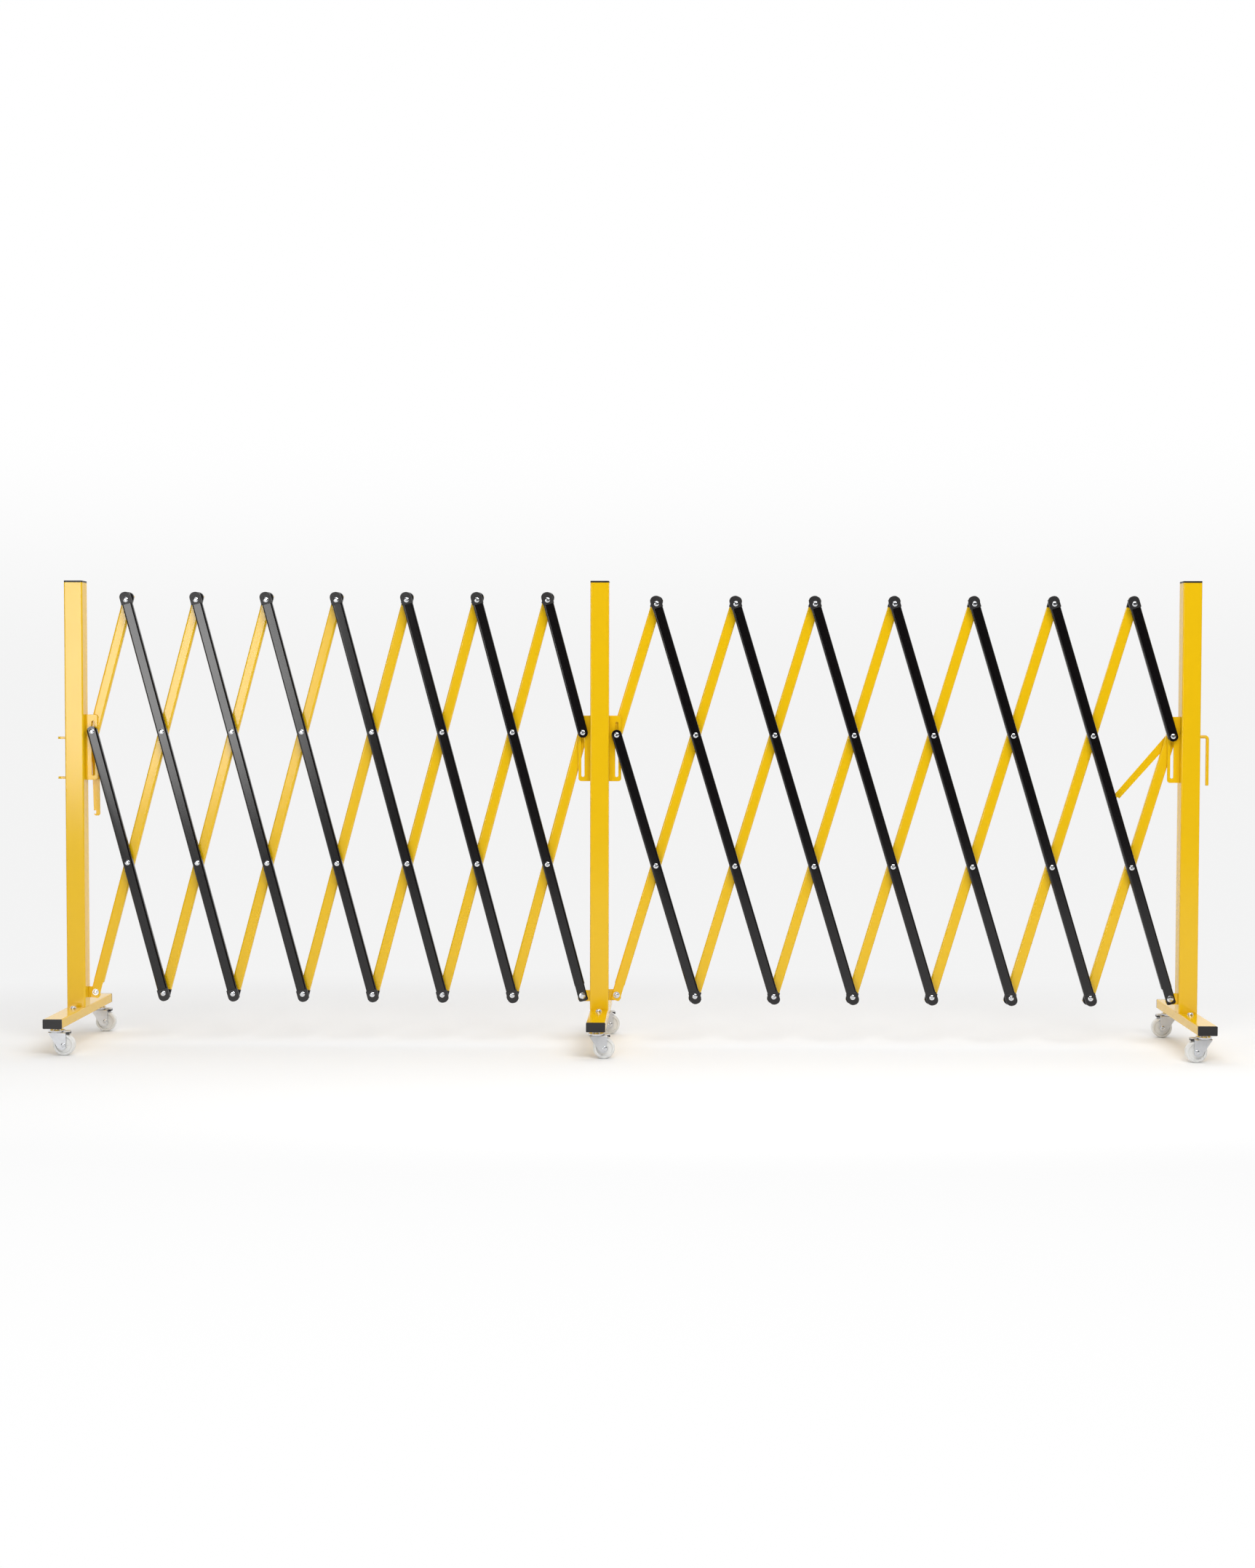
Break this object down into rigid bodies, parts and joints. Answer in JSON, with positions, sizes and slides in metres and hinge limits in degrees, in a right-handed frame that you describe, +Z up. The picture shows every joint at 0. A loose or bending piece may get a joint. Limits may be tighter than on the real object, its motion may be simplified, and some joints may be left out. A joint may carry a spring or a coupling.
{
  "type": "expandable safety barrier",
  "caption": "Expandable safety barrier: scissor lattice panels of black and yellow bars that fold between upright posts on castors.",
  "frame": {"origin": "on the floor, under the middle of the bounding box", "axes": "+X along the barrier to the coupling hook, +Y to the back (the yellow bars' side), +Z up"},
  "size_m": [2.4694, 0.406, 1],
  "materials": {
    "yellow_coat": "gloss powder coat",
    "black_coat": "satin powder coat",
    "black_plastic": "moulded",
    "zinc": "bright zinc plate",
    "nylon": "natural nylon"
  },
  "bodies": {
    "middle_post": {"middle_post": "yellow_coat", "middle_foot": "yellow_coat", "middle_plugs": "black_plastic"},
    "left_post": {"left_post": "yellow_coat", "left_foot": "yellow_coat", "left_plugs": "black_plastic"},
    "right_post": {"right_post": "yellow_coat", "right_foot": "yellow_coat", "right_plugs": "black_plastic"},
    "left_yellow_bar_1": {"left_yellow_bar_1": "yellow_coat"},
    "left_yellow_bar_2": {"left_yellow_bar_2": "yellow_coat"},
    "left_yellow_bar_3": {"left_yellow_bar_3": "yellow_coat"},
    "left_yellow_bar_4": {"left_yellow_bar_4": "yellow_coat"},
    "left_yellow_bar_5": {"left_yellow_bar_5": "yellow_coat"},
    "left_yellow_bar_6": {"left_yellow_bar_6": "yellow_coat"},
    "left_yellow_bar_7": {"left_yellow_bar_7": "yellow_coat"},
    "left_yellow_bar_8": {"left_yellow_bar_8": "yellow_coat"},
    "left_black_bar_1": {"left_black_bar_1": "black_coat"},
    "left_black_bar_2": {"left_black_bar_2": "black_coat"},
    "left_black_bar_3": {"left_black_bar_3": "black_coat"},
    "left_black_bar_4": {"left_black_bar_4": "black_coat"},
    "left_black_bar_5": {"left_black_bar_5": "black_coat"},
    "left_black_bar_6": {"left_black_bar_6": "black_coat"},
    "left_black_bar_7": {"left_black_bar_7": "black_coat"},
    "left_black_bar_8": {"left_black_bar_8": "black_coat"},
    "left_slot_pin": {"left_slot_pin": "zinc"},
    "left_latch": {"left_latch": "yellow_coat"},
    "right_yellow_bar_1": {"right_yellow_bar_1": "yellow_coat"},
    "right_yellow_bar_2": {"right_yellow_bar_2": "yellow_coat"},
    "right_yellow_bar_3": {"right_yellow_bar_3": "yellow_coat"},
    "right_yellow_bar_4": {"right_yellow_bar_4": "yellow_coat"},
    "right_yellow_bar_5": {"right_yellow_bar_5": "yellow_coat"},
    "right_yellow_bar_6": {"right_yellow_bar_6": "yellow_coat"},
    "right_yellow_bar_7": {"right_yellow_bar_7": "yellow_coat"},
    "right_yellow_bar_8": {"right_yellow_bar_8": "yellow_coat"},
    "right_black_bar_1": {"right_black_bar_1": "black_coat"},
    "right_black_bar_2": {"right_black_bar_2": "black_coat"},
    "right_black_bar_3": {"right_black_bar_3": "black_coat"},
    "right_black_bar_4": {"right_black_bar_4": "black_coat"},
    "right_black_bar_5": {"right_black_bar_5": "black_coat"},
    "right_black_bar_6": {"right_black_bar_6": "black_coat"},
    "right_black_bar_7": {"right_black_bar_7": "black_coat"},
    "right_black_bar_8": {"right_black_bar_8": "black_coat"},
    "right_slot_pin": {"right_slot_pin": "zinc"},
    "right_latch": {"right_latch": "yellow_coat"},
    "left_front_fork": {"left_front_fork": "zinc"},
    "left_front_wheel": {"left_front_wheel": "nylon"},
    "left_rear_fork": {"left_rear_fork": "zinc"},
    "left_rear_wheel": {"left_rear_wheel": "nylon"},
    "middle_front_fork": {"middle_front_fork": "zinc"},
    "middle_front_wheel": {"middle_front_wheel": "nylon"},
    "middle_rear_fork": {"middle_rear_fork": "zinc"},
    "middle_rear_wheel": {"middle_rear_wheel": "nylon"},
    "right_front_fork": {"right_front_fork": "zinc"},
    "right_front_wheel": {"right_front_wheel": "nylon"},
    "right_rear_fork": {"right_rear_fork": "zinc"},
    "right_rear_wheel": {"right_rear_wheel": "nylon"}
  },
  "joints": [
    {"name": "right_fold", "type": "hinge", "parent": "middle_post", "child": "right_yellow_bar_2", "pos_m": [-0.02727, 0, 0.11], "axis": [0, 1, 0], "range_deg": [-14.32, 19.23]},
    {"name": "right_black_bar_1_pivot", "type": "hinge", "parent": "right_yellow_bar_2", "child": "right_black_bar_1", "pos_m": [0.05727, 0, 0.39054], "axis": [0, 1, 0], "range_deg": [-38.46, 28.64]},
    {"name": "right_black_bar_2_pivot", "type": "hinge", "parent": "right_yellow_bar_2", "child": "right_black_bar_2", "pos_m": [0.14181, 0, 0.67108], "axis": [0, 1, 0], "range_deg": [-38.46, 28.64]},
    {"name": "right_black_bar_3_pivot", "type": "hinge", "parent": "right_yellow_bar_2", "child": "right_black_bar_3", "pos_m": [0.22635, 0, 0.95162], "axis": [0, 1, 0], "range_deg": [-38.46, 28.64]},
    {"name": "right_yellow_bar_1_pivot", "type": "hinge", "parent": "right_black_bar_2", "child": "right_yellow_bar_1", "pos_m": [0.05727, 0, 0.95162], "axis": [0, 1, 0], "range_deg": [-28.64, 38.46]},
    {"name": "right_yellow_bar_3_pivot", "type": "hinge", "parent": "right_black_bar_3", "child": "right_yellow_bar_3", "pos_m": [0.31089, 0, 0.67108], "axis": [0, 1, 0], "range_deg": [-28.64, 38.46]},
    {"name": "right_yellow_bar_4_pivot", "type": "hinge", "parent": "right_black_bar_3", "child": "right_yellow_bar_4", "pos_m": [0.39543, 0, 0.39054], "axis": [0, 1, 0], "range_deg": [-28.64, 38.46]},
    {"name": "right_yellow_bar_5_pivot", "type": "hinge", "parent": "right_black_bar_3", "child": "right_yellow_bar_5", "pos_m": [0.47997, 0, 0.11], "axis": [0, 1, 0], "range_deg": [-28.64, 38.46]},
    {"name": "right_black_bar_4_pivot", "type": "hinge", "parent": "right_yellow_bar_5", "child": "right_black_bar_4", "pos_m": [0.56451, 0, 0.39054], "axis": [0, 1, 0], "range_deg": [-38.46, 28.64]},
    {"name": "right_black_bar_5_pivot", "type": "hinge", "parent": "right_yellow_bar_5", "child": "right_black_bar_5", "pos_m": [0.64905, 0, 0.67108], "axis": [0, 1, 0], "range_deg": [-38.46, 28.64]},
    {"name": "right_black_bar_6_pivot", "type": "hinge", "parent": "right_yellow_bar_5", "child": "right_black_bar_6", "pos_m": [0.73359, 0, 0.95162], "axis": [0, 1, 0], "range_deg": [-38.46, 28.64]},
    {"name": "right_yellow_bar_6_pivot", "type": "hinge", "parent": "right_black_bar_6", "child": "right_yellow_bar_6", "pos_m": [0.81813, 0, 0.67108], "axis": [0, 1, 0], "range_deg": [-28.64, 38.46]},
    {"name": "right_yellow_bar_7_pivot", "type": "hinge", "parent": "right_black_bar_6", "child": "right_yellow_bar_7", "pos_m": [0.90267, 0, 0.39054], "axis": [0, 1, 0], "range_deg": [-28.64, 38.46]},
    {"name": "right_yellow_bar_8_pivot", "type": "hinge", "parent": "right_black_bar_6", "child": "right_yellow_bar_8", "pos_m": [0.98721, 0, 0.11], "axis": [0, 1, 0], "range_deg": [-28.64, 38.46]},
    {"name": "right_black_bar_7_pivot", "type": "hinge", "parent": "right_yellow_bar_8", "child": "right_black_bar_7", "pos_m": [1.07175, 0, 0.39054], "axis": [0, 1, 0], "range_deg": [-38.46, 28.64]},
    {"name": "right_black_bar_8_pivot", "type": "hinge", "parent": "right_yellow_bar_8", "child": "right_black_bar_8", "pos_m": [1.15628, 0, 0.67108], "axis": [0, 1, 0], "range_deg": [-38.46, 28.64]},
    {"name": "right_post_pivot", "type": "hinge", "parent": "right_black_bar_7", "child": "right_post", "pos_m": [1.15628, 0, 0.11], "axis": [0, 1, 0], "range_deg": [-14.32, 19.23]},
    {"name": "right_slot_pin_pivot", "type": "hinge", "parent": "right_black_bar_8", "child": "right_slot_pin", "pos_m": [1.15628, 0, 0.67108], "axis": [0, 1, 0], "range_deg": [-14.32, 19.23]},
    {"name": "left_fold", "type": "hinge", "parent": "middle_post", "child": "left_black_bar_7", "pos_m": [-0.10007, 0, 0.11], "axis": [0, -1, 0], "range_deg": [-12.5, 21.05]},
    {"name": "left_yellow_bar_8_pivot", "type": "hinge", "parent": "left_black_bar_7", "child": "left_yellow_bar_8", "pos_m": [-0.17565, 0, 0.39308], "axis": [0, 1, 0], "range_deg": [-25, 42.1]},
    {"name": "left_yellow_bar_7_pivot", "type": "hinge", "parent": "left_black_bar_7", "child": "left_yellow_bar_7", "pos_m": [-0.25124, 0, 0.67616], "axis": [0, 1, 0], "range_deg": [-25, 42.1]},
    {"name": "left_yellow_bar_6_pivot", "type": "hinge", "parent": "left_black_bar_7", "child": "left_yellow_bar_6", "pos_m": [-0.32683, 0, 0.95925], "axis": [0, 1, 0], "range_deg": [-25, 42.1]},
    {"name": "left_black_bar_8_pivot", "type": "hinge", "parent": "left_yellow_bar_7", "child": "left_black_bar_8", "pos_m": [-0.17565, 0, 0.95925], "axis": [0, 1, 0], "range_deg": [-42.1, 25]},
    {"name": "left_black_bar_6_pivot", "type": "hinge", "parent": "left_yellow_bar_6", "child": "left_black_bar_6", "pos_m": [-0.40242, 0, 0.67616], "axis": [0, 1, 0], "range_deg": [-42.1, 25]},
    {"name": "left_black_bar_5_pivot", "type": "hinge", "parent": "left_yellow_bar_6", "child": "left_black_bar_5", "pos_m": [-0.478, 0, 0.39308], "axis": [0, 1, 0], "range_deg": [-42.1, 25]},
    {"name": "left_black_bar_4_pivot", "type": "hinge", "parent": "left_yellow_bar_6", "child": "left_black_bar_4", "pos_m": [-0.55359, 0, 0.11], "axis": [0, 1, 0], "range_deg": [-42.1, 25]},
    {"name": "left_yellow_bar_5_pivot", "type": "hinge", "parent": "left_black_bar_4", "child": "left_yellow_bar_5", "pos_m": [-0.62918, 0, 0.39308], "axis": [0, 1, 0], "range_deg": [-25, 42.1]},
    {"name": "left_yellow_bar_4_pivot", "type": "hinge", "parent": "left_black_bar_4", "child": "left_yellow_bar_4", "pos_m": [-0.70476, 0, 0.67616], "axis": [0, 1, 0], "range_deg": [-25, 42.1]},
    {"name": "left_yellow_bar_3_pivot", "type": "hinge", "parent": "left_black_bar_4", "child": "left_yellow_bar_3", "pos_m": [-0.78035, 0, 0.95925], "axis": [0, 1, 0], "range_deg": [-25, 42.1]},
    {"name": "left_black_bar_3_pivot", "type": "hinge", "parent": "left_yellow_bar_3", "child": "left_black_bar_3", "pos_m": [-0.85594, 0, 0.67616], "axis": [0, 1, 0], "range_deg": [-42.1, 25]},
    {"name": "left_black_bar_2_pivot", "type": "hinge", "parent": "left_yellow_bar_3", "child": "left_black_bar_2", "pos_m": [-0.93152, 0, 0.39308], "axis": [0, 1, 0], "range_deg": [-42.1, 25]},
    {"name": "left_black_bar_1_pivot", "type": "hinge", "parent": "left_yellow_bar_3", "child": "left_black_bar_1", "pos_m": [-1.00711, 0, 0.11], "axis": [0, 1, 0], "range_deg": [-42.1, 25]},
    {"name": "left_yellow_bar_2_pivot", "type": "hinge", "parent": "left_black_bar_1", "child": "left_yellow_bar_2", "pos_m": [-1.0827, 0, 0.39308], "axis": [0, 1, 0], "range_deg": [-25, 42.1]},
    {"name": "left_yellow_bar_1_pivot", "type": "hinge", "parent": "left_black_bar_1", "child": "left_yellow_bar_1", "pos_m": [-1.15828, 0, 0.67616], "axis": [0, 1, 0], "range_deg": [-25, 42.1]},
    {"name": "left_post_pivot", "type": "hinge", "parent": "left_yellow_bar_2", "child": "left_post", "pos_m": [-1.15828, 0, 0.11], "axis": [0, 1, 0], "range_deg": [-21.05, 12.5]},
    {"name": "left_slot_pin_pivot", "type": "hinge", "parent": "left_black_bar_1", "child": "left_slot_pin", "pos_m": [-1.15828, 0, 0.67616], "axis": [0, 1, 0], "range_deg": [-12.5, 21.05]},
    {"name": "left_latch_swing", "type": "hinge", "parent": "left_slot_pin", "child": "left_latch", "pos_m": [-1.15828, 0, 0.67616], "axis": [0, -1, 0], "range_deg": [-2, 96]},
    {"name": "right_latch_swing", "type": "hinge", "parent": "right_slot_pin", "child": "right_latch", "pos_m": [1.15628, 0, 0.67108], "axis": [0, 1, 0], "range_deg": [-42, 56]},
    {"name": "left_front_swivel", "type": "hinge", "parent": "left_post", "child": "left_front_fork", "pos_m": [-1.19468, -0.1675, 0.06], "axis": [0, 0, 1], "continuous": true},
    {"name": "left_front_roll", "type": "hinge", "parent": "left_front_fork", "child": "left_front_wheel", "pos_m": [-1.17868, -0.1675, 0.0225], "axis": [0, 1, 0], "continuous": true},
    {"name": "left_rear_swivel", "type": "hinge", "parent": "left_post", "child": "left_rear_fork", "pos_m": [-1.19468, 0.1675, 0.06], "axis": [0, 0, 1], "continuous": true},
    {"name": "left_rear_roll", "type": "hinge", "parent": "left_rear_fork", "child": "left_rear_wheel", "pos_m": [-1.17868, 0.1675, 0.0225], "axis": [0, 1, 0], "continuous": true},
    {"name": "middle_front_swivel", "type": "hinge", "parent": "middle_post", "child": "middle_front_fork", "pos_m": [-0.06367, -0.1675, 0.06], "axis": [0, 0, 1], "continuous": true},
    {"name": "middle_front_roll", "type": "hinge", "parent": "middle_front_fork", "child": "middle_front_wheel", "pos_m": [-0.04791, -0.16472, 0.0225], "axis": [-0.1736, 0.9848, 0], "continuous": true},
    {"name": "middle_rear_swivel", "type": "hinge", "parent": "middle_post", "child": "middle_rear_fork", "pos_m": [-0.06367, 0.1675, 0.06], "axis": [0, 0, 1], "continuous": true},
    {"name": "middle_rear_roll", "type": "hinge", "parent": "middle_rear_fork", "child": "middle_rear_wheel", "pos_m": [-0.04791, 0.17028, 0.0225], "axis": [-0.1736, 0.9848, 0], "continuous": true},
    {"name": "right_front_swivel", "type": "hinge", "parent": "right_post", "child": "right_front_fork", "pos_m": [1.19268, -0.1675, 0.06], "axis": [0, 0, 1], "continuous": true},
    {"name": "right_front_roll", "type": "hinge", "parent": "right_front_fork", "child": "right_front_wheel", "pos_m": [1.17668, -0.1675, 0.0225], "axis": [0, -1, 0], "continuous": true},
    {"name": "right_rear_swivel", "type": "hinge", "parent": "right_post", "child": "right_rear_fork", "pos_m": [1.19268, 0.1675, 0.06], "axis": [0, 0, 1], "continuous": true},
    {"name": "right_rear_roll", "type": "hinge", "parent": "right_rear_fork", "child": "right_rear_wheel", "pos_m": [1.17668, 0.1675, 0.0225], "axis": [0, -1, 0], "continuous": true}
  ],
  "couplings": [
    {"joint": "right_black_bar_1_pivot", "follows": "right_fold", "ratio": -2},
    {"joint": "right_black_bar_2_pivot", "follows": "right_fold", "ratio": -2},
    {"joint": "right_black_bar_3_pivot", "follows": "right_fold", "ratio": -2},
    {"joint": "right_yellow_bar_1_pivot", "follows": "right_fold", "ratio": 2},
    {"joint": "right_yellow_bar_3_pivot", "follows": "right_fold", "ratio": 2},
    {"joint": "right_yellow_bar_4_pivot", "follows": "right_fold", "ratio": 2},
    {"joint": "right_yellow_bar_5_pivot", "follows": "right_fold", "ratio": 2},
    {"joint": "right_black_bar_4_pivot", "follows": "right_fold", "ratio": -2},
    {"joint": "right_black_bar_5_pivot", "follows": "right_fold", "ratio": -2},
    {"joint": "right_black_bar_6_pivot", "follows": "right_fold", "ratio": -2},
    {"joint": "right_yellow_bar_6_pivot", "follows": "right_fold", "ratio": 2},
    {"joint": "right_yellow_bar_7_pivot", "follows": "right_fold", "ratio": 2},
    {"joint": "right_yellow_bar_8_pivot", "follows": "right_fold", "ratio": 2},
    {"joint": "right_black_bar_7_pivot", "follows": "right_fold", "ratio": -2},
    {"joint": "right_black_bar_8_pivot", "follows": "right_fold", "ratio": -2},
    {"joint": "right_post_pivot", "follows": "right_fold", "ratio": 1},
    {"joint": "right_slot_pin_pivot", "follows": "right_fold", "ratio": 1},
    {"joint": "left_yellow_bar_8_pivot", "follows": "left_fold", "ratio": 2},
    {"joint": "left_yellow_bar_7_pivot", "follows": "left_fold", "ratio": 2},
    {"joint": "left_yellow_bar_6_pivot", "follows": "left_fold", "ratio": 2},
    {"joint": "left_black_bar_8_pivot", "follows": "left_fold", "ratio": -2},
    {"joint": "left_black_bar_6_pivot", "follows": "left_fold", "ratio": -2},
    {"joint": "left_black_bar_5_pivot", "follows": "left_fold", "ratio": -2},
    {"joint": "left_black_bar_4_pivot", "follows": "left_fold", "ratio": -2},
    {"joint": "left_yellow_bar_5_pivot", "follows": "left_fold", "ratio": 2},
    {"joint": "left_yellow_bar_4_pivot", "follows": "left_fold", "ratio": 2},
    {"joint": "left_yellow_bar_3_pivot", "follows": "left_fold", "ratio": 2},
    {"joint": "left_black_bar_3_pivot", "follows": "left_fold", "ratio": -2},
    {"joint": "left_black_bar_2_pivot", "follows": "left_fold", "ratio": -2},
    {"joint": "left_black_bar_1_pivot", "follows": "left_fold", "ratio": -2},
    {"joint": "left_yellow_bar_2_pivot", "follows": "left_fold", "ratio": 2},
    {"joint": "left_yellow_bar_1_pivot", "follows": "left_fold", "ratio": 2},
    {"joint": "left_post_pivot", "follows": "left_fold", "ratio": -1},
    {"joint": "left_slot_pin_pivot", "follows": "left_fold", "ratio": 1}
  ]
}
